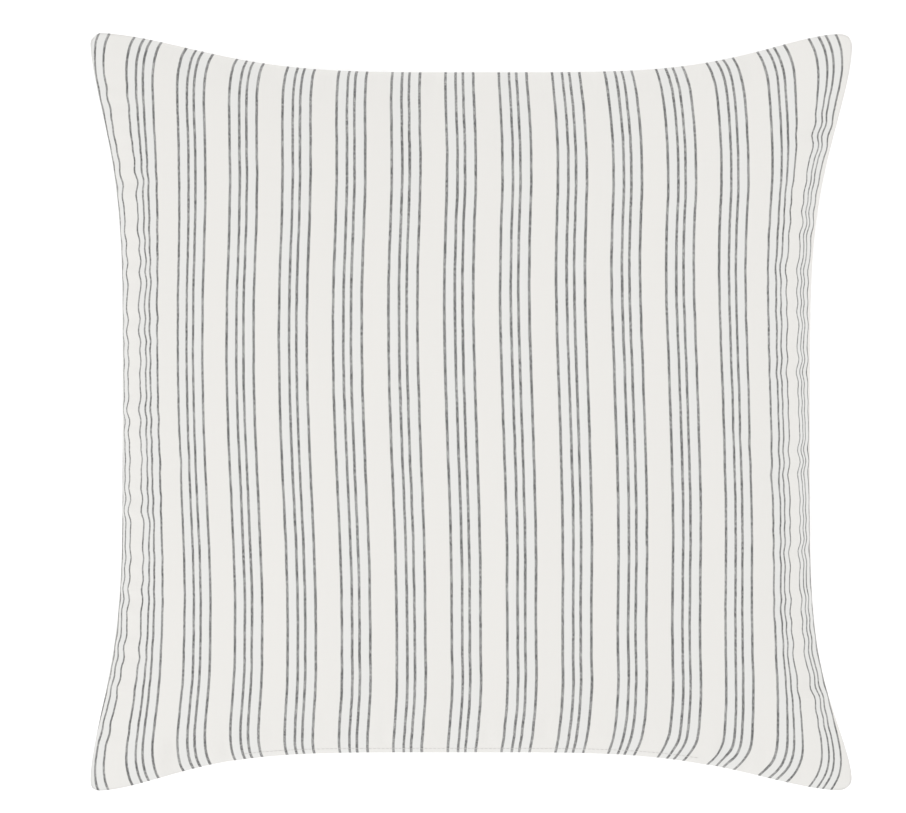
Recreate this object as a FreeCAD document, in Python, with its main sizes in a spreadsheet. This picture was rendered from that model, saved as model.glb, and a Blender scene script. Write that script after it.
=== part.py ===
import FreeCAD, Part
import Sketcher
import math
import os

# Square throw pillow: a zipped cover of two crowned cloth panels over a sewn, filled insert.
# It lies on its back. +Z is up out of the front face, +Y runs from the zipped edge to the edge
# opposite, +X runs along the zip, and the origin is on the floor under the middle of the pillow.
# Lengths are in millimetres.

Vector = FreeCAD.Vector
UP = 1
DOWN = -1

doc = FreeCAD.newDocument("ThrowPillow")
sheet = doc.addObject("Spreadsheet::Sheet", "Sizes")

DRIVING_SIZES = [
    # overall form of the filled cover
    ("span_across", 501.0, "corner to corner along X"),
    ("span_along", 498.0, "corner to corner along Y"),
    ("edge_draw", 26.0, "how far the middle of each edge is drawn in by the filling"),
    ("edge_flatness", 2.3, "how long the straight middle of each edge is, as an exponent"),
    ("crown_height", 86.0, "highest point of a face above the seam"),
    ("crown_fullness", 81.0, "degrees of arc in the crown: 90 is a full round, less is flatter"),
    ("seam_height", 75.0, "seam above the floor"),
    ("corner_cut", 5.0, "each side of the blunt corner of the sewn outline"),
    # cover
    ("cover_cloth", 0.6, "cover fabric"),
    ("cover_edge", 1.7, "half thickness of the sewn edge, upright below the crown"),
    ("cover_allowance", 12.0, "fabric turned in past the seam"),
    ("thread_size", 0.35, "sewing thread"),
    ("thread_inset", 1.6, "seam stitches in from the edge"),
    # insert
    ("insert_ease", 0.8, "gap between the cover and the insert at the crown"),
    ("insert_edge_gap", 1.0, "gap between the insert's edge and the cover's turned-in fabric"),
    ("insert_zip_gap", 1.0, "least gap between the insert's edge and the back of the zip"),
    ("insert_cloth", 0.4, "insert fabric"),
    ("insert_edge", 1.2, "half thickness of the insert's sewn edge"),
    ("insert_allowance", 8.0, "insert fabric turned in past its seam"),
    ("fill_ease", 0.5, "gap between the filling and the insert's fabric"),
    # blank labels
    ("label_width", 20.0, "sewn-in label, along the seam"),
    ("label_drop", 22.0, "sewn-in label, away from the seam"),
    ("label_cloth", 0.3, "label ribbon"),
    ("label_tilt", 59.0, "degrees a label leans up between the cover and the insert"),
    ("label_inset", 7.5, "label's sewn end in from the cover's edge"),
    ("label_offset", 60.0, "label's middle from the middle of its edge"),
    # zip
    ("zip_chain", 262.0, "closed chain between its stops"),
    ("zip_recess", 5.0, "tape behind the middle of the seam line"),
    ("zip_tail", 15.0, "tape past each end of the chain"),
    ("zip_slot_end", 22.0, "open seam past each end of the chain"),
    ("lip_gap", 9.0, "opening between the two folded lips"),
    ("lip_turn", 8.0, "fabric folded back behind each lip"),
    ("tape_thick", 0.5, "woven tape"),
    ("tape_flat", 4.6, "half width of the tape's flat middle"),
    ("tape_reach", 12.0, "height above the seam that the tape's sewn edge reaches"),
    ("tape_gap", 0.4, "gap between the tape and the folded lip"),
    ("chain_slit", 1.0, "space between the two coils"),
    ("coil_wide", 1.4, "one coil across the chain"),
    ("coil_thick", 1.9, "one coil out from the tape"),
    ("stop_long", 2.4, "zip stop along the chain"),
    ("stop_gap", 0.2, "gap between a stop and the coil's end"),
    # slider
    ("slider_long", 9.0, "slider along the chain"),
    ("slider_mouth", 7.6, "slider across its wide end"),
    ("slider_tail", 6.4, "slider across its narrow end"),
    ("slider_plate", 0.9, "each wing of the slider"),
    ("slider_clear", 0.2, "running gap round the coils and the tape"),
    ("slider_park", 1.0, "gap between the parked slider and the top stops"),
    ("flange_wide", 0.9, "slider's side flange"),
    ("post_long", 2.6, "post that joins the wings, along the chain"),
    ("bridge_long", 6.0, "bridge over the wing, along the chain"),
    ("bridge_rise", 3.0, "bridge out from the wing"),
    ("bridge_bar", 0.9, "bridge's own section"),
    ("bridge_wide", 1.4, "bridge across the chain"),
    # pull tab
    ("pull_long", 24.0, "pull tab from its pivot"),
    ("pull_wide", 5.2, "pull tab across its end"),
    ("pull_neck", 4.2, "pull tab across its eye"),
    ("pull_thick", 0.9, "pull tab"),
    ("pull_bar", 1.2, "pivot bar at the end of the eye"),
    ("eye_long", 3.5, "eye that the bridge passes through"),
    ("eye_wide", 2.0, "eye across"),
]

for row, (alias, value, note) in enumerate(DRIVING_SIZES, start=1):
    sheet.set("A%d" % row, note)
    sheet.set("B%d" % row, str(value))
    sheet.setAlias("B%d" % row, alias)
doc.recompute()


def size(alias):
    """The number that the sheet holds under this name."""
    return float(sheet.get(alias))


# ---------------------------------------------------------------- crowned forms

SEAM = size("seam_height")
HALF_X = size("span_across") / 2
HALF_Y = size("span_along") / 2
CROWN_ARC = math.radians(size("crown_fullness"))
DEGREE = 12


def draw_share(along):
    """Share of the edge draw at a place along an edge: 1 at its middle, 0 at its corners."""
    return 0.5 * (1 + math.cos(math.pi * abs(along) ** size("edge_flatness")))


def rise_share(step):
    """Share of the crown's height at a step across the face: 1 in the middle, 0 at the seam."""
    return (math.cos(CROWN_ARC * step) - math.cos(CROWN_ARC)) / (1 - math.cos(CROWN_ARC))


def run_share(step):
    """Share of the half width that the same step has covered."""
    return math.sin(CROWN_ARC * step) / math.sin(CROWN_ARC)


def one_way_poles(share):
    """Poles of the smooth curve of a share over the steps from -1 to 1."""
    steps = [-math.cos(math.pi * n / DEGREE) for n in range(DEGREE + 1)]
    curve = Part.BezierCurve()
    curve.interpolate([[Vector(0, 0, share(a))] for a in steps], [(a + 1) / 2 for a in steps])
    return [pole.z for pole in curve.getPoles()]


RUN = one_way_poles(run_share)
RISE = one_way_poles(rise_share)
DRAW = one_way_poles(lambda step: draw_share(run_share(step)))


def crown_face(inset, base, rise):
    """The lower crowned sheet: one patch whose poles are products of the one-way poles.

    x is the run along X times the half width left by the draw at that y, y likewise, and the
    depth below the seam is the product of the two rises.
    """
    half_x = [HALF_X - inset - size("edge_draw") * share for share in DRAW]
    half_y = [HALF_Y - inset - size("edge_draw") * share for share in DRAW]
    poles = [[Vector(RUN[a] * half_x[b], RUN[b] * half_y[a],
                     SEAM - base - rise * RISE[a] * RISE[b])
              for b in range(DEGREE + 1)] for a in range(DEGREE + 1)]
    surface = Part.BSplineSurface()
    ends = [DEGREE + 1, DEGREE + 1]
    surface.buildFromPolesMultsKnots(poles, ends, ends, [0, 1], [0, 1], False, False,
                                     DEGREE, DEGREE)
    return surface.toShape()


def flat_face(outline):
    """The flat face inside a closed outline of edges."""
    return Part.Face(Part.Wire(Part.__sortEdges__(outline)))


def crowned(inset, low, edge, top, side):
    """A solid half pillow: upright from low to edge off the seam plane, then crowned to top.

    The upper half is the lower one mirrored in the seam plane.
    """
    sheet_face = crown_face(inset, edge, top - edge)
    flat = flat_face(sheet_face.Edges)
    dome = Part.Solid(Part.Shell([sheet_face, flat]))
    if dome.Volume < 0:
        dome.reverse()
    half = dome.fuse(flat.extrude(Vector(0, 0, edge - low)))
    return half if side == DOWN else half.mirror(Vector(0, 0, SEAM), Vector(0, 0, 1))


def outline_prism(inset, low, high):
    """An upright prism whose outline lies inset inside the seam line."""
    return flat_face(crown_face(inset, SEAM - low, 0).Edges).extrude(Vector(0, 0, high - low))


def corner_blocks():
    """Blocks that stand across the four corners and leave them blunt."""
    reach = 4 * size("corner_cut")
    blocks = []
    for turn in (0, 90, 180, 270):
        block = Part.makeBox(reach, 2 * reach, 2 * CROWN, Vector(0, -reach, -CROWN))
        block.rotate(Vector(), Vector(0, 0, 1), 45 + turn)
        x = HALF_X - size("corner_cut") / 2
        y = HALF_Y - size("corner_cut") / 2
        block.translate(Vector(x if turn in (0, 270) else -x, y if turn in (0, 90) else -y, SEAM))
        blocks.append(block)
    return blocks


def slab(low, high, half_x=400.0, y_from=-400.0, y_to=400.0):
    """A plain block between two heights, for cutting."""
    return Part.makeBox(2 * half_x, y_to - y_from, high - low, Vector(-half_x, y_from, low))


def span(low, high, side):
    """Two distances from the seam, as heights in rising order."""
    return sorted((SEAM + side * low, SEAM + side * high))


FLOOR_DEPTH = 200.0


def above(shape, floor):
    """The part of a shape above a height: soft goods go flat where they rest."""
    return shape.cut(slab(floor - FLOOR_DEPTH, floor))


# where the zip lies behind the straight middle of the seam
SEAM_LINE = -(HALF_Y - size("edge_draw"))
TAPE_FACE = SEAM_LINE + size("zip_recess")
TAPE_BACK = TAPE_FACE + size("tape_thick")
SLIDER_BACK = TAPE_BACK + size("slider_clear") + size("slider_plate")
HALF_CHAIN = size("zip_chain") / 2
HALF_TAPE = HALF_CHAIN + size("zip_tail")


def insert_inset():
    """How far in the insert's edge lies: behind the cover's turned-in fabric and the zip."""
    inset = size("cover_allowance") + size("insert_edge_gap")
    for _ in range(12):
        for x, back in ((HALF_TAPE, TAPE_BACK), (HALF_CHAIN, SLIDER_BACK)):
            drawn = size("edge_draw") * draw_share(x / (HALF_X - inset))
            inset = max(inset, back + size("insert_zip_gap") + HALF_Y - drawn)
    return inset


# where the fabric layers lie, inward from the seam line and from the crown
CLOTH = size("cover_cloth")
INSERT_EDGE = insert_inset()
INSERT_SKIN = CLOTH + size("insert_ease")
FILL_EDGE = INSERT_EDGE + size("insert_allowance") + size("fill_ease")
FILL_SKIN = INSERT_SKIN + size("insert_cloth") + size("fill_ease")
CROWN = size("crown_height")


def sewn_panel(inset, skin, cloth, edge, allowance, side):
    """One cloth panel: crowned sheet and the ring of fabric turned in along the seam plane."""
    outer = above(crowned(inset, 0, edge, CROWN - skin, side), skin)
    inner = crowned(inset + cloth, cloth, edge - cloth, CROWN - skin - cloth, side)
    opening = outline_prism(inset + allowance, *span(-1, cloth * 1.5, side))
    return outer.cut(above(inner, skin + cloth)).cut(opening)


# ---------------------------------------------------------------- zipped stretch of the seam

HALF_SLOT = HALF_CHAIN + size("zip_slot_end")
HALF_LIPS = size("lip_gap") / 2
ZIP_ZONE_DEPTH = SEAM_LINE + size("cover_allowance") + size("zip_recess")


def zip_zone(low, high, side):
    """A block over the zipped stretch between two distances from the seam."""
    return slab(*span(low, high, side), half_x=HALF_SLOT, y_to=ZIP_ZONE_DEPTH)


def cover_panel(side):
    """A cover panel with its edge folded back into a lip along the zip."""
    panel = sewn_panel(0, 0, CLOTH, size("cover_edge"), size("cover_allowance"), side)
    panel = panel.cut(corner_blocks() + [zip_zone(-1, HALF_LIPS, side)])
    folded = crowned(0, 0, size("cover_edge"), CROWN, side)
    folded = folded.cut(crowned(2 * CLOTH, 0, size("cover_edge"), CROWN - 2 * CLOTH, side))
    folded = folded.common(zip_zone(HALF_LIPS, HALF_LIPS + size("lip_turn"), side))
    return panel.fuse(folded).removeSplitter()


def wall_y(x, height, inset):
    """Where a crowned sheet stands over x at a height from the seam, on the zipped side."""
    along = 1.0
    for _ in range(12):
        across = x / (HALF_X - inset - size("edge_draw") * draw_share(along))
        step = math.asin(across * math.sin(CROWN_ARC)) / CROWN_ARC
        rise = (CROWN - inset - size("cover_edge")) * rise_share(step)
        share = (height - size("cover_edge")) / rise
        angle = math.acos(math.cos(CROWN_ARC) + share * (1 - math.cos(CROWN_ARC)))
        along = math.sin(angle) / math.sin(CROWN_ARC)
    return -along * (HALF_Y - inset - size("edge_draw") * draw_share(across))


def zip_tape(side):
    """One tape: flat under the slider, then leaning back to its sewn edge behind the panel."""
    back = Vector(0, size("tape_thick"), 0)
    near, bend = [SEAM + side * d for d in (size("chain_slit") / 2, size("tape_flat"))]
    reach = SEAM + side * size("tape_reach")
    ends = (-HALF_TAPE, HALF_TAPE)
    inner = [Vector(x, TAPE_FACE, near) for x in ends]
    fold = [Vector(x, TAPE_FACE, bend) for x in ends]
    sewn = []
    for n in range(DEGREE + 1):
        x = -HALF_TAPE + 2 * HALF_TAPE * n / DEGREE
        wall = wall_y(x, size("tape_reach"), 2 * CLOTH)
        sewn.append(Vector(x, wall + size("tape_gap"), reach))
    curve = Part.BSplineCurve()
    curve.interpolate(sewn)
    flat = Part.Face(Part.makePolygon([inner[0], inner[1], fold[1], fold[0], inner[0]]))
    leaning = Part.makeRuledSurface(Part.makeLine(fold[0], fold[1]), curve.toShape())
    return flat.extrude(back).fuse(leaning.extrude(back)).removeSplitter()


def seam_thread(edge, cloth, side, zipped):
    """A row of stitches on the turned-in fabric, just inside the seam line."""
    low, high = span(cloth, cloth + size("thread_size"), side)
    inset = edge + size("thread_inset")
    ring = outline_prism(inset, low, high)
    ring = ring.cut(outline_prism(inset + size("thread_size"), low - 1, high + 1))
    if zipped:
        ring = ring.cut(zip_zone(-1, HALF_LIPS, side))
    return ring


def insert_filling():
    """The loose filling, pressed flat where the pillow rests."""
    halves = [crowned(FILL_EDGE, 0, size("fill_ease"), CROWN - FILL_SKIN, side)
              for side in (UP, DOWN)]
    return above(halves[0].fuse(halves[1]), FILL_SKIN)


# ---------------------------------------------------------------- document objects

pieces = []


def keep(label, obj):
    """Give a sub-part the name that its file takes."""
    obj.Label = label
    pieces.append(obj)
    return obj


def cloth_piece(label, shape):
    """A sub-part whose crowned form comes from the functions above."""
    obj = doc.addObject("Part::Feature", label)
    obj.Shape = shape
    obj.Placement = FreeCAD.Placement()
    return keep(label, obj)


def bind(obj, **formulas):
    """Tie properties to formulas in the sheet's sizes; a double underscore stands for a dot."""
    for name, formula in formulas.items():
        obj.setExpression(name.replace("__", "."), formula)
    return obj


TAPE_Y = "-(Sizes.span_along / 2 - Sizes.edge_draw) + Sizes.zip_recess"


def block(name, long_x, deep_y, tall_z, x, y, z):
    """A box whose sizes and lowest corner are formulas."""
    box = doc.addObject("Part::Box", name)
    bind(box, Length=long_x, Width=deep_y, Height=tall_z)
    bind(box, Placement__Base__x=x, Placement__Base__y=y, Placement__Base__z=z)
    return box


def coil(label, z):
    """One side of the closed chain: the rounded bar that its spiral fills."""
    bar = block(label + "_bar", "Sizes.zip_chain", "Sizes.coil_thick", "Sizes.coil_wide",
                "-Sizes.zip_chain / 2", TAPE_Y + " - Sizes.coil_thick", z)
    doc.recompute()
    rounded = doc.addObject("Part::Fillet", label)
    rounded.Base = bar
    front = [n for n, e in enumerate(bar.Shape.Edges, start=1)
             if e.Length > size("coil_thick") * 2 and e.BoundBox.YMax < TAPE_FACE - 0.1]
    radius = 0.35 * min(size("coil_wide"), size("coil_thick"))
    rounded.Edges = [(n, radius, radius) for n in front]
    return keep(label, rounded)


def stop_block(name, x, z, tall):
    """A crimped stop that stands a little proud of the coil it ends."""
    return block(name, "Sizes.stop_long", "Sizes.coil_thick + Sizes.slider_clear", tall,
                 x, TAPE_Y + " - Sizes.coil_thick - Sizes.slider_clear", z)


def leaning_label(label, x, y, turn):
    """A blank ribbon label; its sewn end is low and its free end leans up and inward."""
    tag = doc.addObject("Part::Box", label)
    bind(tag, Length="Sizes.label_width", Width="Sizes.label_drop", Height="Sizes.label_cloth")
    height = SEAM + CLOTH + size("thread_size")
    lean = FreeCAD.Rotation(Vector(1, 0, 0), size("label_tilt"))
    place = FreeCAD.Placement(Vector(x, y, height), FreeCAD.Rotation(Vector(0, 0, 1), turn))
    middle = FreeCAD.Placement(Vector(-size("label_width") / 2, 0, 0), FreeCAD.Rotation())
    tag.Placement = place.multiply(FreeCAD.Placement(Vector(), lean)).multiply(middle)
    return keep(label, tag)


# ---------------------------------------------------------------- PartDesign helpers


def origin_plane(body, role):
    """The body's own origin plane with this role."""
    return [f for f in body.Origin.OriginFeatures if f.Role == role][0]


def new_sketch(body, name, role, offset="0"):
    """A sketch on an origin plane, moved along the plane's normal by a formula."""
    drawing = body.newObject("Sketcher::SketchObject", name)
    drawing.AttachmentSupport = [(origin_plane(body, role), "")]
    drawing.MapMode = "FlatFace"
    drawing.setExpression("AttachmentOffset.Base.z", offset)
    return drawing


def closed_outline(drawing, corners):
    """A closed polygon; each corner is a pair of formulas that its constraints hold."""
    start = drawing.GeometryCount
    count = len(corners)
    spots = [(math.cos(-2 * math.pi * n / count), math.sin(-2 * math.pi * n / count))
             for n in range(count)]
    for n in range(count):
        here = Vector(spots[n][0], spots[n][1], 0)
        there = Vector(spots[(n + 1) % count][0], spots[(n + 1) % count][1], 0)
        drawing.addGeometry(Part.LineSegment(here, there), False)
    for n in range(count):
        meet = Sketcher.Constraint("Coincident", start + n, 2, start + (n + 1) % count, 1)
        drawing.addConstraint(meet)
    for n, pair in enumerate(corners):
        for kind, formula, guess in zip(("DistanceX", "DistanceY"), pair, spots[n]):
            rule = Sketcher.Constraint(kind, -1, 1, start + n, 1, guess)
            index = drawing.addConstraint(rule)
            drawing.setExpression("Constraints[%d]" % index, formula)
    return drawing


def pad(body, name, drawing, length, reverse=False, midplane=False):
    """A pad of the sketch, along its normal unless reversed."""
    feature = body.newObject("PartDesign::Pad", name)
    feature.Profile = drawing
    feature.setExpression("Length", length)
    feature.Reversed = reverse
    feature.Midplane = midplane
    drawing.Visibility = False
    return feature


def rectangle(x_low, x_high, y_low, y_high):
    """The four corners of a rectangle given by formulas."""
    return [(x_low, y_low), (x_high, y_low), (x_high, y_high), (x_low, y_high)]


WING_FRONT = "(Sizes.coil_thick + Sizes.slider_clear)"
WING_BACK = "(Sizes.tape_thick + Sizes.slider_clear)"
BRIDGE_OUT = "(Sizes.coil_thick + Sizes.slider_clear + Sizes.slider_plate + Sizes.bridge_rise)"
PIVOT_X = "(Sizes.zip_chain / 2 - Sizes.slider_park - Sizes.slider_long / 2)"
PIVOT_OUT = ("(Sizes.coil_thick + Sizes.slider_clear + Sizes.slider_plate"
             " + (Sizes.bridge_rise - Sizes.bridge_bar) / 2)")


def wing_outline():
    """The slider's shield: narrow tail, wide mouth with its corners cut back."""
    half = "Sizes.slider_long / 2"
    return [("-" + half, "-Sizes.slider_tail / 2"),
            (half + " - Sizes.slider_plate * 2", "-Sizes.slider_mouth / 2"),
            (half, "-Sizes.slider_mouth / 2 + Sizes.slider_plate"),
            (half, "Sizes.slider_mouth / 2 - Sizes.slider_plate"),
            (half + " - Sizes.slider_plate * 2", "Sizes.slider_mouth / 2"),
            ("-" + half, "Sizes.slider_tail / 2")]


def zip_slider():
    """Two wings joined by a post between the coils, side flanges, and a bridge for the pull."""
    body = doc.addObject("PartDesign::Body", "zip_slider_body")
    front = closed_outline(new_sketch(body, "front_outline", "XZ_Plane", WING_FRONT),
                           wing_outline())
    pad(body, "front_wing", front, "Sizes.slider_plate")
    post_end = "Sizes.slider_long / 2 - Sizes.slider_plate"
    post_half = "(Sizes.chain_slit / 2 - Sizes.slider_clear / 2)"
    post = closed_outline(new_sketch(body, "post_outline", "XZ_Plane", WING_FRONT),
                          rectangle(post_end + " - Sizes.post_long", post_end,
                                    "-" + post_half, post_half))
    pad(body, "post", post, WING_FRONT + " + " + WING_BACK, reverse=True)
    back = closed_outline(new_sketch(body, "back_outline", "XZ_Plane", "-" + WING_BACK),
                          wing_outline())
    pad(body, "back_wing", back, "Sizes.slider_plate", reverse=True)
    inner = "(Sizes.chain_slit / 2 + Sizes.coil_wide + Sizes.slider_clear)"
    outer = "(Sizes.chain_slit / 2 + Sizes.coil_wide + Sizes.slider_clear + Sizes.flange_wide)"
    for name, low, high in (("upper", inner, outer), ("lower", "-" + outer, "-" + inner)):
        flange = closed_outline(
            new_sketch(body, name + "_flange_outline", "XZ_Plane", WING_FRONT),
            rectangle("-Sizes.slider_long / 2", "Sizes.slider_long / 2 - Sizes.slider_plate * 2",
                      low, high))
        pad(body, name + "_flange", flange, "Sizes.coil_thick - Sizes.slider_clear", reverse=True)
    arch = new_sketch(body, "bridge_outline", "XY_Plane")
    foot = "-(" + WING_FRONT + " + Sizes.slider_plate / 2)"
    top = "-" + BRIDGE_OUT
    half = "Sizes.bridge_long / 2"
    slope = "Sizes.bridge_bar * 0.8"
    under = "-(" + BRIDGE_OUT + " - Sizes.bridge_bar)"
    closed_outline(arch, [
        ("-" + half, foot), ("-" + half, top + " + " + slope), ("-" + half + " + " + slope, top),
        (half + " - " + slope, top), (half, top + " + " + slope), (half, foot),
        (half + " - Sizes.bridge_bar", foot), (half + " - Sizes.bridge_bar", under),
        ("-" + half + " + Sizes.bridge_bar", under), ("-" + half + " + Sizes.bridge_bar", foot)])
    body.Tip = pad(body, "bridge", arch, "Sizes.bridge_wide", midplane=True)
    bind(body, Placement__Base__x=PIVOT_X, Placement__Base__y=TAPE_Y,
         Placement__Base__z="Sizes.seam_height")
    return keep("zip_slider_body", body)


def zip_pull():
    """A flat tab that lies back along the closed chain, with an eye round the bridge."""
    body = doc.addObject("PartDesign::Body", "zip_pull_tab")
    bar = "Sizes.pull_bar / 2"
    eye_end = "(" + bar + " + Sizes.eye_long)"
    neck_end = "(" + bar + " + Sizes.eye_long + Sizes.pull_bar)"
    tip_cut = "Sizes.pull_wide / 4"
    half = "Sizes.pull_wide / 2"
    neck = "Sizes.pull_neck / 2"
    outline = closed_outline(new_sketch(body, "tab_outline", "XZ_Plane"), [
        (bar, "-" + neck), (bar, neck), ("-" + neck_end, neck),
        ("-" + neck_end + " - Sizes.pull_bar", half),
        ("-Sizes.pull_long + " + tip_cut, half), ("-Sizes.pull_long", half + " - " + tip_cut),
        ("-Sizes.pull_long", "-" + half + " + " + tip_cut),
        ("-Sizes.pull_long + " + tip_cut, "-" + half),
        ("-" + neck_end + " - Sizes.pull_bar", "-" + half), ("-" + neck_end, "-" + neck)])
    pad(body, "tab", outline, "Sizes.pull_thick", midplane=True)
    doc.recompute()
    eye = closed_outline(new_sketch(body, "eye_outline", "XZ_Plane"),
                         rectangle("-" + eye_end, "-" + bar, "-Sizes.eye_wide / 2",
                                   "Sizes.eye_wide / 2"))
    hole = body.newObject("PartDesign::Pocket", "eye")
    hole.Profile = eye
    hole.Type = "ThroughAll"
    hole.Midplane = True
    body.Tip = hole
    bind(body, Placement__Base__x=PIVOT_X, Placement__Base__y=TAPE_Y + " - " + PIVOT_OUT,
         Placement__Base__z="Sizes.seam_height")
    return keep("zip_pull_tab", body)


# ---------------------------------------------------------------- the pillow

cloth_piece("cover_front_panel", cover_panel(UP))
cloth_piece("cover_back_panel", cover_panel(DOWN))
cloth_piece("cover_needle_thread", seam_thread(0, CLOTH, UP, zipped=True))
cloth_piece("cover_bobbin_thread", seam_thread(0, CLOTH, DOWN, zipped=True))
leaning_label("cover_care_label", -HALF_X + size("edge_draw") + size("label_inset"),
              -size("label_offset"), -90)

INSERT_CLOTH = size("insert_cloth")
INSERT_SEWN = (INSERT_EDGE, INSERT_SKIN, INSERT_CLOTH, size("insert_edge"), size("insert_allowance"))
cloth_piece("insert_front_panel", sewn_panel(*INSERT_SEWN, UP))
cloth_piece("insert_back_panel", sewn_panel(*INSERT_SEWN, DOWN))
cloth_piece("insert_needle_thread", seam_thread(INSERT_EDGE, INSERT_CLOTH, UP, zipped=False))
cloth_piece("insert_bobbin_thread", seam_thread(INSERT_EDGE, INSERT_CLOTH, DOWN, zipped=False))
cloth_piece("insert_filling", insert_filling())
leaning_label("insert_blank_label", size("label_offset"),
              HALF_Y - size("edge_draw") - size("label_inset"), 180)

cloth_piece("zip_tape_front", zip_tape(UP))
cloth_piece("zip_tape_back", zip_tape(DOWN))
coil("zip_coil_front", "Sizes.seam_height + Sizes.chain_slit / 2")
coil("zip_coil_back", "Sizes.seam_height - Sizes.chain_slit / 2 - Sizes.coil_wide")

TOP_STOP_X = "Sizes.zip_chain / 2 + Sizes.stop_gap"
stops = doc.addObject("Part::MultiFuse", "zip_top_stops")
stops.Shapes = [
    stop_block("upper_stop", TOP_STOP_X, "Sizes.seam_height + Sizes.chain_slit / 2",
               "Sizes.coil_wide"),
    stop_block("lower_stop", TOP_STOP_X, "Sizes.seam_height - Sizes.chain_slit / 2 - Sizes.coil_wide",
               "Sizes.coil_wide"),
]
keep("zip_top_stops", stops)
keep("zip_bottom_stop", stop_block(
    "zip_bottom_stop", "-Sizes.zip_chain / 2 - Sizes.stop_gap - Sizes.stop_long",
    "Sizes.seam_height - Sizes.chain_slit / 2 - Sizes.coil_wide",
    "Sizes.chain_slit + Sizes.coil_wide * 2"))
zip_slider()
zip_pull()

# ---------------------------------------------------------------- checks and files

doc.recompute()
for obj in doc.Objects:
    if "Invalid" in obj.State or "Error" in obj.State:
        raise RuntimeError("%s did not build" % obj.Label)
for piece in pieces:
    if piece.Shape.isNull() or not piece.Shape.isValid() or not piece.Shape.Solids:
        raise RuntimeError("%s has no sound solid" % piece.Label)

os.makedirs("parts", exist_ok=True)
for piece in pieces:
    piece.Shape.exportStep("parts/%s.step" % piece.Label)
    print("%-22s %3d solid %12.2f mm3" % (piece.Label, len(piece.Shape.Solids), piece.Shape.Volume))
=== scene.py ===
import math

import bmesh
import bpy
import numpy as np
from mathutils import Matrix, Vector


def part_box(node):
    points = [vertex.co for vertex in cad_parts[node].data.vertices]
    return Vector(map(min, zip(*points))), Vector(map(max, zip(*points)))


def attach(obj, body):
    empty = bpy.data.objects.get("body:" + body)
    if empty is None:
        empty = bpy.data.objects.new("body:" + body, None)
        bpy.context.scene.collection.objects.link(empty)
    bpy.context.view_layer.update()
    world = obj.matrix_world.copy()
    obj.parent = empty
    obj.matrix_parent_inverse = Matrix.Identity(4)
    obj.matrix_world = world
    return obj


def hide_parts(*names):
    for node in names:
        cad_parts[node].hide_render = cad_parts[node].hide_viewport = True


bl_info = {
    "name": "Throw pillow",
    "version": (1, 0),
    "blender": (4, 5, 0),
    "location": "3D View > Sidebar > Pillow",
    "description": "Builds a zipped, pinstriped throw pillow with its insert around a packed frame",
    "category": "Object",
}

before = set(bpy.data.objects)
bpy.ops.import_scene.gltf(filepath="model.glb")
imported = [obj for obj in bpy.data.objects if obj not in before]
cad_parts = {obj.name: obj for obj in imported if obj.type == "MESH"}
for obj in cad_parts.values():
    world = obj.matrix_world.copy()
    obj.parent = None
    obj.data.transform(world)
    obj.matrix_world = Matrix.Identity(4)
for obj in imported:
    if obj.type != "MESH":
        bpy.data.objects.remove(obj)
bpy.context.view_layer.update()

# The seam plane and the outline come from the cover's own panels.
FRONT_LOW, FRONT_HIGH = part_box("cover_front_panel")
SEAM = FRONT_LOW.z
HALF_X = FRONT_HIGH.x
HALF_Y = FRONT_HIGH.y
CROWN = FRONT_HIGH.z - SEAM


# ---------------------------------------------------------------- sizes and colours


def metres(name, default, description):
    """A property that holds a length in metres."""
    return bpy.props.FloatProperty(
        name=name, default=default, description=description, unit="LENGTH")


def tint(name, default, description):
    """A property that holds a colour."""
    return bpy.props.FloatVectorProperty(
        name=name, default=default, description=description, subtype="COLOR", size=3)


class PillowSizes(bpy.types.PropertyGroup):
    """Sizes of the sewn pieces."""

    cut: metres("Finished square", 0.508, "Side of the cover, seam to seam, laid flat")
    cloth: metres("Canvas", 0.0006, "Thickness of the cover fabric")
    insert_cloth: metres("Cotton", 0.0004, "Thickness of the insert fabric")
    allowance: metres("Turned in", 0.012, "Fabric turned in past the seam")
    draw_left: metres("Left draw", 0.0215, "How far the left edge is drawn in")
    draw_right: metres("Right draw", 0.0285, "How far the right edge is drawn in")
    draw_top: metres("Top draw", 0.026, "How far the top edge is drawn in")
    draw_bottom: metres("Zipped draw", 0.026, "How far the zipped edge is drawn in")
    group: metres("Stripe repeat", 0.03523, "From one group of stripes to the next")
    stripe: metres("Stripe", 0.00170, "Width of one pinstripe")


class PillowColours(bpy.types.PropertyGroup):
    """Colours of the cloth, thread and floor."""

    ground: tint("Ground", (0.845, 0.831, 0.806), "Undyed canvas")
    stripe: tint("Stripe", (0.035, 0.035, 0.037), "Charcoal warp threads")
    band: tint("Between stripes", (0.820, 0.817, 0.803), "Ground inside a stripe group")
    cover_thread: tint("Cover thread", (0.72, 0.71, 0.69), "Thread that sews the cover")
    insert_thread: tint("Insert thread", (0.82, 0.82, 0.81), "Thread that sews the insert")
    floor: tint("Floor", (0.93, 0.93, 0.93), "Pale floor")


def sizes():
    """The sizes held by the scene."""
    return bpy.context.scene.pillow_sizes


def colours():
    """The colours held by the scene."""
    return bpy.context.scene.pillow_colours


# ---------------------------------------------------------------- shader maths


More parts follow.
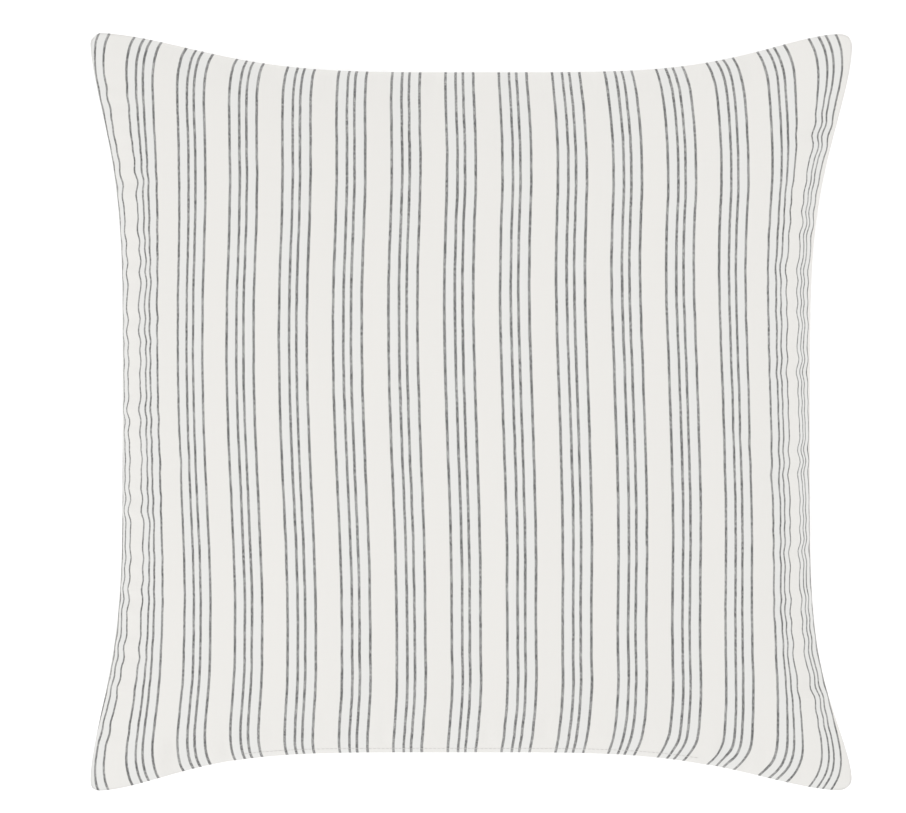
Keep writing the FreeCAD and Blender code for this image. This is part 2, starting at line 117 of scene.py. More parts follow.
class Value:
    """A number that varies over a surface; Python's operators add Math nodes."""

    def __init__(self, sheet, socket):
        self.sheet = sheet
        self.socket = socket

    def _math(self, operation, other=0.0, first=None):
        """One Math node on this value and another."""
        ends = (self, other) if first is None else (first, self)
        return self.sheet.node("ShaderNodeMath", {"operation": operation}, *ends)

    def __add__(self, other):
        return self._math("ADD", other)

    __radd__ = __add__

    def __sub__(self, other):
        return self._math("SUBTRACT", other)

    def __rsub__(self, other):
        return self._math("SUBTRACT", first=other)

    def __mul__(self, other):
        return self._math("MULTIPLY", other)

    __rmul__ = __mul__

    def __truediv__(self, other):
        return self._math("DIVIDE", other)

    def call(self, operation, other=0.0):
        """A named Math operation, such as SINE, ABSOLUTE or FRACT."""
        return self._math(operation, other)

    def between(self, low, high):
        """0 below low, 1 above high and a smooth rise from one to the other."""
        settings = {"interpolation_type": "SMOOTHSTEP"}
        return self.sheet.node("ShaderNodeMapRange", settings, self, low, high, 0.0, 1.0)


class Finish:
    """A material being made: its nodes, and the one method that adds them."""

    def __init__(self, name):
        self.material = bpy.data.materials.new(name)
        self.material.use_nodes = True
        self.tree = self.material.node_tree
        self.shader = self.tree.nodes["Principled BSDF"]

    def node(self, kind, settings, *values, out=0):
        """Adds a node, sets its settings, then its sockets in order, and returns its output."""
        node = self.tree.nodes.new(kind)
        for name, value in settings.items():
            setattr(node, name, value)
        sockets = [s for s in node.inputs if s.enabled]
        for socket, value in zip(sockets, values):
            self.put(socket, value)
        outputs = [s for s in node.outputs if s.enabled]
        return Value(self, outputs[out])

    def put(self, socket, value):
        """Links a value to a socket, or sets a number or colour on it."""
        if value is None:
            return
        if isinstance(value, Value):
            self.tree.links.new(value.socket, socket)
        elif socket.type == "RGBA" and len(value) == 3:
            socket.default_value = (*value, 1.0)
        else:
            socket.default_value = value

    def set(self, **values):
        """Sets the shader's sockets, named with underscores for spaces."""
        for name, value in values.items():
            self.put(self.shader.inputs[name.replace("_", " ")], value)
        return self

    def flat_place(self):
        """The two coordinates of the piece's own flat pattern, in metres."""
        return self.parts(self.node("ShaderNodeUVMap", {"uv_map": "pattern"}), 2)

    def object_place(self):
        """The place on the piece in the object's own coordinates, whole and as x, y and z."""
        place = self.node("ShaderNodeTexCoord", {}, out=3)
        return place, *self.parts(place, 3)

    def parts(self, vector, count):
        """The first parts of a vector."""
        return [self.node("ShaderNodeSeparateXYZ", {}, vector, out=n) for n in range(count)]

    def join(self, x, y, z=0.0):
        """A vector made of three numbers."""
        return self.node("ShaderNodeCombineXYZ", {}, x, y, z)

    def noise(self, place, scale, detail=2.0, roughness=0.5):
        """Smooth noise, about 0.5 in the middle."""
        return self.node("ShaderNodeTexNoise", {}, place, scale, detail, roughness)

    def mix(self, share, first, second):
        """A colour between two, by a share from 0 to 1."""
        return self.node("ShaderNodeMix", {"data_type": "RGBA"}, share, first, second)

    def bump(self, height, depth, strength=1.0):
        """A bump from a height of 0 to 1 that stands for depth metres."""
        return self.node("ShaderNodeBump", {}, strength, depth, 1.0, height)

    def weave(self, x, y, warp_pitch, weft_pitch):
        """A plain weave: its height, and 1 where a warp thread lies over the weft.

        Each thread is a round ridge, the absolute sine of its place over its pitch; warp and
        weft take turns on top by the sign of the product of the two sines.
        """
        across = (x * (math.pi / warp_pitch)).call("SINE")
        along = (y * (math.pi / weft_pitch)).call("SINE")
        over = (across * along * -4.0).between(-0.5, 0.5)
        ridge = across.call("ABSOLUTE") * over + along.call("ABSOLUTE") * (1.0 - over)
        return ridge, over


WARP_PITCH = 0.00062
WEFT_PITCH = 0.00068
STRIPE_PLACES = (0.0, 0.189, 0.325, 0.519)
FIRST_STRIPE = -0.2286
SOFT_EDGE = 0.00016
GROUP_LEAD = 0.25
STRIPE_WANDER = 0.0007
BAND_EDGES = ((-0.04, 0.0), (0.52, 0.56))
WEAVE_DEPTH = 0.00012


def canvas_finish():
    """Striped canvas: dyed warp threads in groups of four, slubs, weave and a soft sheen."""
    look = Finish("striped_canvas")
    u, v = look.flat_place()
    size = sizes()
    slub = look.noise(look.join(u * 900.0, v * 14.0), 1.0, 2.0)
    weft_slub = look.noise(look.join(u * 12.0, v * 800.0, 4.0), 1.0, 2.0)
    wander = look.noise(look.join(u * 30.0, v * 45.0, 9.0), 1.0, 2.0) - 0.5
    ridge, over = look.weave(u, v, WARP_PITCH, WEFT_PITCH)
    spot = (u + wander * STRIPE_WANDER - FIRST_STRIPE) / size.group + GROUP_LEAD
    in_group = (spot.call("FRACT") - GROUP_LEAD) * size.group
    width = size.stripe * (slub * 0.5 + 0.75)
    stripes = None
    for share in STRIPE_PLACES:
        distance = (in_group - share * size.group).call("ABSOLUTE")
        line = 1.0 - ((distance - width * 0.5) * (1 / SOFT_EDGE)).between(-1.0, 1.0)
        stripes = line if stripes is None else stripes + line
    flecks = look.noise(look.join(u * 900.0, v * 620.0, 2.0), 1.0, 2.0, 0.6).between(0.36, 0.56)
    uneven = look.noise(look.join(u * 60.0, v * 90.0, 6.0), 1.0, 2.0).between(0.30, 0.66)
    dyed = stripes * (over * 0.22 + 0.78) * (flecks * 0.38 + 0.62) * (uneven * 0.25 + 0.75)
    start, end = [(in_group * (1 / size.group)).between(*edge) for edge in BAND_EDGES]
    band = start - end
    ground = look.mix(band, colours().ground, colours().band)
    # Lighter on the weave's thread crowns and darker between the threads, which is painted shade;
    # the slubs add random tone.
    threads = (slub + weft_slub) * 0.09 + ridge * 0.06
    slub_tone_and_weave_shade = look.mix(threads, (0.93, 0.93, 0.925), (1.04, 1.04, 1.04))
    ground = look.node("ShaderNodeMix", {"data_type": "RGBA", "blend_type": "MULTIPLY"},
                       1.0, ground, slub_tone_and_weave_shade)
    colour = look.mix(dyed, ground, colours().stripe)
    bump = look.bump(ridge + slub * 0.7 + weft_slub * 0.7, WEAVE_DEPTH, 0.6)
    look.set(Base_Color=colour, Roughness=0.92 - ridge * 0.08, Normal=bump)
    look.set(Sheen_Weight=0.12, Sheen_Roughness=0.5, Specular_IOR_Level=0.2)
    return look.material


PLY_TWIST = 0.0006


def thread_finish(name, colour):
    """Sewing thread: a plied twist with painted shade in its grooves, and a slight sheen."""
    look = Finish(name)
    place, x, y, z = look.object_place()
    twist = ((x + y + z * 0.5) * (2 * math.pi / PLY_TWIST)).call("SINE") * 0.5 + 0.5
    tone = look.noise(place, 400.0, 2.0)
    # Darker in the grooves of the twist, which is painted shade, and varied by random tone.
    shade = look.mix(twist * 0.5 + tone * 0.5, tuple(c * 0.86 for c in colour), colour)
    look.set(Base_Color=shade, Roughness=0.6 + tone * 0.15,
             Normal=look.bump(twist, 0.00008, 0.7))
    look.set(Sheen_Weight=0.15, Specular_IOR_Level=0.3)
    return look.material


COTTON_PITCH = (0.00040, 0.00044)
COTTON_DEPTH = 0.0006


def insert_finish():
    """Downproof cotton: a fine even weave, faintly creased, with painted shade in the creases."""
    look = Finish("insert_cotton")
    u, v = look.flat_place()
    ridge, _ = look.weave(u, v, *COTTON_PITCH)
    crease_height_and_shade = look.noise(look.join(u * 18.0, v * 26.0, 1.0), 1.0, 4.0, 0.6)
    slub = look.noise(look.join(u * 600.0, v * 20.0), 1.0, 2.0)
    # Darker in the creases, which is painted shade, and varied by random slub tone.
    shade = look.mix(crease_height_and_shade * 0.6 + slub * 0.4, (0.80, 0.80, 0.785), (0.87, 0.87, 0.86))
    look.set(Base_Color=shade, Roughness=0.88 - ridge * 0.06,
             Normal=look.bump(ridge * 0.3 + crease_height_and_shade, COTTON_DEPTH, 0.5))
    look.set(Sheen_Weight=0.1, Specular_IOR_Level=0.25)
    return look.material


CLUMP_DEPTH = 0.002


def filling_finish():
    """Fibre filling: soft white clumps with fine tangled strands, and painted shade between them.
    """
    look = Finish("fibre_fill")
    place = look.object_place()[0]
    clumps = look.noise(place, 45.0, 3.0, 0.6)
    strands = look.node("ShaderNodeTexNoise", {}, place, 900.0, 4.0, 0.75, 2.0, 2.5)
    # Lighter on the clumps and strands and darker between them, which is painted shade.
    shade = look.mix(clumps * 0.5 + strands * 0.5, (0.74, 0.735, 0.72), (0.90, 0.90, 0.89))
    bump = look.bump(clumps * 0.6 + strands * 0.4, CLUMP_DEPTH, 0.8)
    look.set(Base_Color=shade, Roughness=0.97, Normal=bump)
    look.set(Sheen_Weight=0.3, Sheen_Roughness=0.6, Specular_IOR_Level=0.1)
    return look.material


TAPE_RIB = 0.0019
TAPE_TWILL = 0.0007
TWILL_DEPTH = 0.00012


def tape_finish():
    """Zip tape: polyester woven in a herringbone."""
    look = Finish("zip_tape")
    u, v = look.flat_place()
    rows = (v * (1 / TAPE_RIB)).call("FRACT")
    lean = (rows - 0.5).call("ABSOLUTE") * TAPE_RIB * 2.0
    twill = ((u + lean) * (2 * math.pi / TAPE_TWILL)).call("SINE") * 0.5 + 0.5
    groove = 1.0 - (rows - 0.5).call("ABSOLUTE").between(0.40, 0.5)
    tone = look.noise(look.join(u * 300.0, v * 90.0), 1.0, 2.0)
    # Darker in the twill's low lines and in the grooves between rows, which is painted shade, and
    # varied by random tone.
    shade = look.mix(twill * groove * 0.6 + tone * 0.4, (0.66, 0.65, 0.63),
                     (0.82, 0.815, 0.80))
    look.set(Base_Color=shade, Roughness=0.75, Normal=look.bump(twill * groove, TWILL_DEPTH, 0.8))
    look.set(Sheen_Weight=0.1, Specular_IOR_Level=0.3)
    return look.material


def coil_finish():
    """The chain's nylon wire: smooth, slightly milky, dulled where the slider runs."""
    look = Finish("zip_coil")
    place = look.object_place()[0]
    tone = look.noise(place, 350.0, 2.0)
    rub = look.noise(place, 60.0, 3.0, 0.6)
    shade = look.mix(tone, (0.74, 0.735, 0.72), (0.84, 0.835, 0.82))
    look.set(Base_Color=shade, Roughness=rub * 0.25 + 0.25,
             Normal=look.bump(tone, 0.00003, 0.5))
    look.set(Specular_IOR_Level=0.5, Coat_Weight=0.15)
    return look.material


def metal_finish():
    """Nickel-plated zinc: faint casting grain, fine scratches and dulled high spots."""
    look = Finish("zip_metal")
    place, x, y, z = look.object_place()
    grain = look.noise(place, 2400.0, 2.0)
    scratch = look.noise(look.join(x * 700.0, y * 5200.0, z * 5200.0), 1.0, 3.0, 0.7)
    wear = look.noise(place, 420.0, 3.0, 0.6).between(0.45, 0.68)
    shade = look.mix(wear, (0.44, 0.435, 0.425), (0.53, 0.525, 0.51))
    look.set(Base_Color=shade, Metallic=1.0, Roughness=scratch * 0.16 + wear * 0.06 + 0.14,
             Normal=look.bump(grain * 0.4 + scratch * 0.6, 0.00002, 0.5))
    return look.material


SATIN_FLOAT = 0.00028
RIBBON_EDGE = (0.0088, 0.0094)
EDGE_RIB = 0.0005


def label_finish():
    """Blank satin ribbon: long floats along it and firm woven edges."""
    look = Finish("label_ribbon")
    u, v = look.flat_place()
    float_line = (u * (2 * math.pi / SATIN_FLOAT)).call("SINE") * 0.5 + 0.5
    tone = look.noise(look.join(u * 2500.0, v * 120.0), 1.0, 2.0)
    edge = u.call("ABSOLUTE").between(*RIBBON_EDGE)
    rib = (v * (2 * math.pi / EDGE_RIB)).call("SINE") * 0.5 + 0.5
    height = float_line * (1.0 - edge) + rib * edge
    # Lighter on the floats and edge ribs and darker between them, which is painted shade, and
    # varied by random tone.
    shade = look.mix(tone * 0.7 + height * 0.3, (0.80, 0.80, 0.79), (0.90, 0.90, 0.895))
    look.set(Base_Color=shade, Roughness=0.42 + edge * 0.3,
             Normal=look.bump(height, 0.00005, 0.6))
    look.set(Specular_IOR_Level=0.5, Sheen_Weight=0.05)
    return look.material


# ---------------------------------------------------------------- crowned cloth forms

CROWN_ARC = math.radians(81.0)
SEAM_EDGE = 0.0015
FORM_STEPS = 321
EVEN_ROUNDS = 14
EVEN_PACE = 0.8


def smooth(value, low, high):
    """0 at low, 1 at high, and three squares less two cubes between them."""
    share = np.clip((value - low) / (high - low), 0, 1)
    return share * share * (3 - 2 * share)


def run_share(step):
    """Share of the half width covered at a step from -1 to 1: sin(arc * step) / sin(arc)."""
    return np.sin(CROWN_ARC * step) / math.sin(CROWN_ARC)


def rise_share(step):
    """Share of the crown's height: (cos(arc * step) - cos(arc)) / (1 - cos(arc))."""
    flat = math.cos(CROWN_ARC)
    return (np.cos(CROWN_ARC * step) - flat) / (1 - flat)


def draw_share(along, low_power, high_power):
    """Share of the edge draw: half of 1 + cos(pi * distance to the power given per side)."""
    power = np.where(along < 0, low_power, high_power)
    return 0.5 * (1 + np.cos(math.pi * np.minimum(np.abs(along), 1.0) ** power))


# Powers of the draw on each side: below or left of its middle, then above or right of it.
LEFT_BEND = (2.2, 2.3)
RIGHT_BEND = (2.7, 2.0)
ZIP_BEND = (2.5, 2.0)
TOP_BEND = (1.9, 2.3)
# Each corner's side along X and Y, how much of it is cut off, and how soft the cut is.
CORNER_CUTS = ((-1, 1, 0.0052, 0.0015), (1, 1, 0.0050, 0.0050), (-1, -1, 0.0035, 0.0030),
               (1, -1, 0.0060, 0.0040))
PULL_REST = 0.02


def outline_place(step_x, step_y, inset=0.0):
    """x and y of the crowned form: the run shares stretched between the drawn-in edges.

    A corner is pulled in by a quarter of its gap plus the root of gap squared and softness
    squared, where the gap is how far a point lies past the corner's cut.
    """
    size = sizes()
    across = run_share(step_x)
    along = run_share(step_y)
    left = -HALF_X + inset + size.draw_left * draw_share(along, *LEFT_BEND)
    right = HALF_X - inset - size.draw_right * draw_share(along, *RIGHT_BEND)
    low = -HALF_Y + inset + size.draw_bottom * draw_share(across, *ZIP_BEND)
    high = HALF_Y - inset - size.draw_top * draw_share(across, *TOP_BEND)
    x = 0.5 * (left + right) + 0.5 * (right - left) * across
    y = 0.5 * (low + high) + 0.5 * (high - low) * along
    for turn_x, turn_y, cut, soft in CORNER_CUTS:
        gap = cut - (1 - turn_x * across) * HALF_X - (1 - turn_y * along) * HALF_Y
        pull = 0.25 * (gap + np.sqrt(gap ** 2 + soft ** 2)) - PULL_REST * soft
        near = smooth(turn_x * across, 0.8, 0.95) * smooth(turn_y * along, 0.8, 0.95)
        x = x - turn_x * np.maximum(pull, 0) * near
        y = y - turn_y * np.maximum(pull, 0) * near
    return x, y


def soft_floor(z, floor, blend=0.003):
    """z kept above the floor by the mean of both plus the root of their gap squared."""
    return 0.5 * (z + floor + np.sqrt((z - floor) ** 2 + blend ** 2))


def crowned(step_x, step_y, side, inset=0.0, skin=0.0):
    """Places on a crowned half: the outline's x and y, and the crown as a product of rises."""
    x, y = outline_place(step_x, step_y, inset)
    rise = (CROWN - skin - SEAM_EDGE) * rise_share(step_x) * rise_share(step_y)
    z = SEAM + side * (SEAM_EDGE + rise)
    if side < 0:
        z = soft_floor(z, skin)
    return np.stack([x, y, z], axis=-1)


def lengths_along(points, axis):
    """Running length along one axis of a grid of points, centred and scaled to -1 to 1."""
    pieces = np.linalg.norm(np.diff(points, axis=axis), axis=-1)
    total = np.cumsum(pieces, axis=axis)
    start = np.zeros_like(np.take(total, [0], axis=axis))
    total = np.concatenate([start, total], axis=axis)
    middle = np.take(total, [total.shape[axis] // 2], axis=axis)
    ends = np.take(total, [-1], axis=axis)
    return np.where(total < middle, (total - middle) / middle,
                    (total - middle) / (ends - middle))


def sample(table, step_x, step_y):
    """Values of a square table over steps from -1 to 1, blended between its four nearest."""
    last = table.shape[0] - 1
    a = np.clip((step_x + 1) * 0.5 * last, 0, last - 1e-6)
    b = np.clip((step_y + 1) * 0.5 * last, 0, last - 1e-6)
    i, j = a.astype(int), b.astype(int)
    p, q = (a - i)[..., None], (b - j)[..., None]
    table = table.reshape(last + 1, last + 1, -1)
    return (table[i, j] * (1 - p) * (1 - q) + table[i + 1, j] * p * (1 - q)
            + table[i, j + 1] * (1 - p) * q + table[i + 1, j + 1] * p * q)


def cut_steps(side, cells, inset=0.0, skin=0.0):
    """The steps at which an even grid of the flat pattern lies on the crowned form.

    The pattern's places are the running lengths along the form, and the steps are found by
    moving each one by what its length still lacks.
    """
    fine = np.linspace(-1, 1, FORM_STEPS)
    a, b = np.meshgrid(fine, fine, indexing="ij")
    points = crowned(a, b, side, inset, skin)
    table = np.stack([lengths_along(points, 0), lengths_along(points, 1)], axis=-1)
    even = np.linspace(-1, 1, cells + 1)
    u, v = np.meshgrid(even, even, indexing="ij")
    x, y = u.copy(), v.copy()
    for _ in range(EVEN_ROUNDS):
        now = sample(table, x, y)
        x = np.clip(x + (u - now[..., 0]) * EVEN_PACE, -1, 1)
        y = np.clip(y + (v - now[..., 1]) * EVEN_PACE, -1, 1)
    x[0], x[-1] = -1, 1
    y[:, 0], y[:, -1] = -1, 1
    return x, y, u, v


# ---------------------------------------------------------------- mesh helpers


def grid_faces(index):
    """Four-cornered faces over a grid of point numbers."""
    corners = [index[:-1, :-1], index[1:, :-1], index[1:, 1:], index[:-1, 1:]]
    return np.stack(corners, axis=-1).reshape(-1, 4)


def make_piece(name, points, faces, pattern=None, material=None):
    """A mesh object from arrays, with the flat pattern as its UV map."""
    mesh = bpy.data.meshes.new(name)
    mesh.from_pydata(points.reshape(-1, 3).tolist(), [], list(faces))
    if pattern is not None:
        loops = np.empty(len(mesh.loops), np.int32)
        mesh.loops.foreach_get("vertex_index", loops)
        layer = mesh.uv_layers.new(name="pattern")
        flat = pattern.reshape(-1, 2)[loops].astype(np.float32)
        layer.data.foreach_set("uv", flat.ravel())
    mesh.shade_smooth()
    piece = bpy.data.objects.new(name, mesh)
    bpy.context.scene.collection.objects.link(piece)
    if material is not None:
        mesh.materials.append(material)
    return piece


def border_numbers(index):
    """Point numbers round the border of a grid, once round."""
    return np.concatenate([index[:-1, 0], index[-1, :-1], index[:0:-1, -1], index[0, :0:-1]])


def ring_faces(inner, outer):
    """Faces between two closed rings of point numbers."""
    return np.stack([inner, outer, np.roll(outer, -1), np.roll(inner, -1)], axis=-1)


def tube_faces(rings, corners):
    """The faces along a tube of rings, then the caps at its two ends."""
    index = np.arange(rings * corners).reshape(rings, corners)
    sides = grid_faces(np.concatenate([index, index[:, :1]], axis=1))
    return sides, (index[0][::-1], index[-1])


def finish_mesh(piece, *modifiers):
    """Adds modifiers, each a type and its settings, and applies them."""
    for kind, settings in modifiers:
        modifier = piece.modifiers.new(kind.title(), kind)
        for name, value in settings.items():
            setattr(modifier, name, value)
    bpy.context.view_layer.update()
    shaped = bpy.data.meshes.new_from_object(
        piece.evaluated_get(bpy.context.evaluated_depsgraph_get()))
    piece.modifiers.clear()
    piece.data = shaped
    shaped.name = piece.name
    return piece


# ---------------------------------------------------------------- cloth simulation

SETTLE_CELLS = 100
SETTLE_FRAMES = 22
GATHER = 0.03
SEED = 0.0006
CLOTH_RULES = {
    "quality": 5, "mass": 0.3, "tension_stiffness": 40.0, "compression_stiffness": 40.0,
    "shear_stiffness": 30.0, "bending_stiffness": 0.1, "tension_damping": 1.0,
    "compression_damping": 1.0, "shear_damping": 1.0, "air_damping": 1.0,
    "use_pressure": True, "uniform_pressure_force": 2.0}


def sewn_panels(cells):
    """Point numbers and faces of two square panels sewn round their border, which they share."""
    front = np.arange((cells + 1) ** 2).reshape(cells + 1, cells + 1)
    back = front.copy()
    inner = (cells - 1) ** 2
    back[1:-1, 1:-1] = (cells + 1) ** 2 + np.arange(inner).reshape(cells - 1, cells - 1)
    return front, back, np.concatenate([grid_faces(front), grid_faces(back)[:, ::-1]])


def settle_cloth():
    """How far the two panels rise off the form when Blender's Cloth lets them find their folds.

    The cut cloth is a little larger than its place on the form, because the seam gathers it. It
    starts with the seam's puckers and is blown out by the filling's pressure.
    """
    _, _, u, v = cut_steps(1, SETTLE_CELLS)
    front, back, faces = sewn_panels(SETTLE_CELLS)
    count = int(back.max()) + 1
    form = np.zeros((count, 3))
    start = np.zeros((count, 3))
    flat = np.zeros((count, 3))
    for numbers, side in ((back, -1), (front, 1)):
        panel = crowned(*cut_steps(side, SETTLE_CELLS)[:2], side)
        form[numbers] = panel
        seed = SEED * seam_ripple(u, v + SIDE_SLIP * side) * pucker_share(u, v)
        start[numbers] = panel + surface_normals(panel, side) * seed[..., None]
        flat[numbers] = np.stack([u, v, 0 * u], axis=-1) * sizes().cut / 2 * (1 + GATHER)
    border = border_numbers(front)
    form[border, 2] = start[border, 2] = SEAM
    cloth = make_piece("settling_cloth", start, faces)
    cloth.shape_key_add(name="start")
    cut = cloth.shape_key_add(name="cut")
    cut.data.foreach_set("co", flat.astype(np.float32).ravel())
    modifier = cloth.modifiers.new("Cloth", "CLOTH")
    rules = modifier.settings
    rules.rest_shape_key = cut
    for name, value in CLOTH_RULES.items():
        setattr(rules, name, value)
    rules.effector_weights.gravity = 0.0
    modifier.point_cache.frame_end = SETTLE_FRAMES
    scene = bpy.context.scene
    for number in range(1, SETTLE_FRAMES + 1):
        scene.frame_set(number)
    shaped = cloth.evaluated_get(bpy.context.evaluated_depsgraph_get()).data
    settled = np.empty(count * 3, np.float32)
    shaped.vertices.foreach_get("co", settled)
    scene.frame_set(1)
    moved = settled.reshape(-1, 3).astype(float) - form
    mesh = cloth.data
    bpy.data.objects.remove(cloth)
    bpy.data.meshes.remove(mesh)
    return {side: (moved[numbers] * surface_normals(form[numbers], side)).sum(axis=-1)
            for side, numbers in ((1, front), (-1, back))}


# ---------------------------------------------------------------- folds in the cloth

COVER_CELLS = 200
TALLEST_FOLD = 0.0014
SMOOTHING = 0.016
PUCKER_WAVES = ((0.0131, 0.4), (0.0173, 2.1), (0.0229, 4.4), (0.0617, 1.3))
PUCKER_DEPTH = 0.0008
PUCKER_REACH = 0.011
SIDE_SLIP = 0.02
FLOOR_CALM = 0.012
ZIP_CALM = (0.010, 0.030)
SEAM_WAVER = 0.0004
WAVER_REACH = 0.02
FOLD_FADE = 0.020
# The folds of each panel, kept once the cloth has settled.
settled = {}


def blur(table, cells):
    """A square table averaged with its neighbours a few times, the same number each way."""
    for _ in range(3):
        for axis in (0, 1):
            wide = [(0, 0)] * table.ndim
            wide[axis] = (cells, cells)
            total = np.cumsum(np.pad(table, wide, mode="edge"), axis=axis)
            start = np.zeros_like(np.take(total, [0], axis=axis))
            total = np.concatenate([start, total], axis=axis)
            span = 2 * cells + 1
            count = table.shape[axis]
            table = (np.take(total, range(span, span + count), axis=axis)
                     - np.take(total, range(count), axis=axis)) / span
    return table


def settled_folds(side):
    """The folds of one panel as heights over its flat pattern, worked out once.

    They are how far the cloth rose less its broad swelling, held under the tallest fold by the
    fold over the root of one plus the square of fold over tallest.
    """
    if not settled:
        for panel, rise in settle_cloth().items():
            fold = rise - blur(rise, int(SMOOTHING / sizes().cut * SETTLE_CELLS))
            settled[panel] = fold / np.sqrt(1 + (fold / TALLEST_FOLD) ** 2)
    return settled[side]


def seam_ripple(u, v):
    """A wavering number along the nearest seam: a sum of sines of the length along it."""
    half = sizes().cut / 2
    beside = np.abs(u) > np.abs(v)
    along = np.where(beside, v, u) * half
    turn = np.where(beside, np.sign(u) * 1.7, np.sign(v) * 0.6)
    waves = [np.sin(2 * math.pi * along / length + start + turn * (n + 1))
             for n, (length, start) in enumerate(PUCKER_WAVES)]
    return sum(waves) / len(waves) * 1.6


def from_seam(u, v):
    """Distance along the cloth to the nearest seam."""
    return (1 - np.maximum(np.abs(u), np.abs(v))) * sizes().cut / 2


def pucker_share(u, v):
    """How much of a pucker shows: nothing on the seam, most a little way in, then fading.

    It is d * exp(1 - d) of the distance d over the reach, less near the corners.
    """
    distance = from_seam(u, v) / PUCKER_REACH
    corner = smooth(1 - np.minimum(np.abs(u), np.abs(v)), 0.02, 0.25)
    return distance * np.exp(1 - distance) * corner


def surface_normals(points, side):
    """Unit normals of a grid of points, out of the pillow."""
    normal = np.cross(np.gradient(points, axis=0), np.gradient(points, axis=1))
    length = np.linalg.norm(normal, axis=-1, keepdims=True)
    return side * normal / np.maximum(length, 1e-12)


# ---------------------------------------------------------------- the cover

# Each turned-in ring's inset from the seam and height off the seam plane.
TURN_PROFILE = ((0.00015, 0.0007), (0.0006, 0.00025), (0.0022, 0.00016), (0.0070, 0.00035),
                (0.0120, 0.00035))
# The same rings at the zip: whether measured from the tape, how far behind, how far lifted.
LIP_PROFILE = ((False, 0.0002, 0.0003), (False, 0.0009, 0.0), (True, -0.0008, 0.0),
               (True, -0.0003, 0.0008), (True, 0.0012, 0.0062))
TAPE_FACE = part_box("zip_tape_front")[0].y
HALF_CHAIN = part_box("zip_coil_front")[1].x
LIP_HEIGHT = 0.0044
LIP_ROLL = 0.0008
SLOT_FULL = HALF_CHAIN + 0.019
SLOT_END = SLOT_FULL + 0.010
LIP_FADE = 0.022
# The cover's panels as grids of points, for the zip's tapes and stitches to lie on.
surfaces = {}


def zip_share(points):
    """1 along the zipped stretch of the lower edge, fading to 0 past its ends."""
    share = 1 - smooth(np.abs(points[..., 0]), SLOT_FULL, SLOT_END)
    return share * (points[..., 1] < -0.5 * HALF_Y)


GRAIN_HUMP = 0.0052
GRAIN_SLIDE = (0.0026, 0.0052, 0.0055)
EDGE_WAVER = 0.0002
CORNER_BENDS = ((-1, 1, 0.0028, 0.30), (1, 1, 0.0032, 0.30), (-1, -1, 0.0026, 0.30),
                (1, -1, 0.0080, 0.25))


def grain_shift(u, v):
    """How far the stripes wander to the side, in metres.

    A hump in the lower half of the cloth, a slide towards the right side that grows as a
    quadratic of u and dies away at the seams, a bend towards the middle near the corners where
    the seam pulls, and a small waver beside the side seams.
    """
    height = (v + 1) * 0.5
    hump = smooth(height, 0.0, 0.16) * (1 - smooth(height, 0.22, 0.70))
    level, slope, curve = GRAIN_SLIDE
    slide = level + slope * u + curve * np.maximum(u, 0) ** 2
    slide = slide * (1 - smooth(np.abs(u), 0.83, 1.0))
    slide = slide * smooth(1 - v, 0.06, 0.45) * (1 + 0.15 * smooth(-v, 0.0, 0.45))
    shift = GRAIN_HUMP * hump + slide * (1 - 0.45 * smooth(-v, 0.55, 0.95))
    for turn_x, turn_y, depth, start in CORNER_BENDS:
        share = smooth(turn_x * u, start, start + 0.45)
        shift = shift - turn_x * depth * share * smooth(turn_y * v, 0.86, 1.02) ** 1.5
    waver = seam_ripple(u, v) * pucker_share(u, v) * (np.abs(u) > np.abs(v))
    return shift + EDGE_WAVER * waver


def resample(table, rows, columns):
    """A table read at a grid of places from -1 to 1 by cubic convolution, one way at a time."""
    for axis, steps in ((0, rows), (1, columns)):
        last = table.shape[axis] - 1
        place = (steps + 1) * 0.5 * last
        start = np.floor(place)
        mixed = 0
        for reach in (-1, 0, 1, 2):
            gap = np.abs(place - start - reach)
            weight = np.where(gap < 1, 1.5 * gap ** 3 - 2.5 * gap ** 2 + 1,
                              -0.5 * gap ** 3 + 2.5 * gap ** 2 - 4 * gap + 2)
            index = np.clip(start + reach, 0, last).astype(int)
            shape = [1] * table.ndim
            shape[axis] = len(steps)
            mixed = mixed + np.take(table, index, axis=axis) * weight.reshape(shape)
        table = mixed
    return table


def folded(points, u, v, side):
    """A crowned panel with the settled folds on it."""
    folds = resample(settled_folds(side), u[:, 0], v[0])
    fade = smooth(from_seam(u, v), 0.0, FOLD_FADE)
    return points + surface_normals(points, side) * (folds * fade)[..., None]


def folded_form(side, cells, inset=0.0, skin=0.0):
    """A panel's even grid on the crowned form, with its folds, kept off the floor by its skin."""
    x, y, u, v = cut_steps(side, cells, inset, skin)
    points = folded(crowned(x, y, side, inset, skin), u, v, side)
    points[..., 2] = np.maximum(points[..., 2], skin)
    return points, x, y, u, v


def cover_points(side):
    """The cover's panel on its even grid: form, folds, seam puckers and the zip's lips."""
    points, x, y, u, v = folded_form(side, COVER_CELLS)
    pucker = PUCKER_DEPTH * seam_ripple(u, v + SIDE_SLIP * side) * pucker_share(u, v)
    off_floor = smooth(points[..., 2], 0.0, FLOOR_CALM)
    calm = 1 - zip_share(points) * (1 - smooth(from_seam(u, v), *ZIP_CALM))
    points += surface_normals(points, side) * (pucker * off_floor * calm)[..., None]
    edge_distance = points[..., 1] - points[:, :1, 1]
    zipped = zip_share(points[:, :1] * np.ones_like(points))
    lift = zipped * (1 - smooth(edge_distance, 0.0, LIP_FADE))
    points[..., 2] += side * lift * (LIP_HEIGHT - SEAM_EDGE + LIP_ROLL)
    waver = SEAM_WAVER * seam_ripple(u, v) * (1 - smooth(from_seam(u, v), 0.0, WAVER_REACH))
    points[..., 2] += waver * (1 - zipped)
    surfaces[side] = points
    return points, x, y, u, v


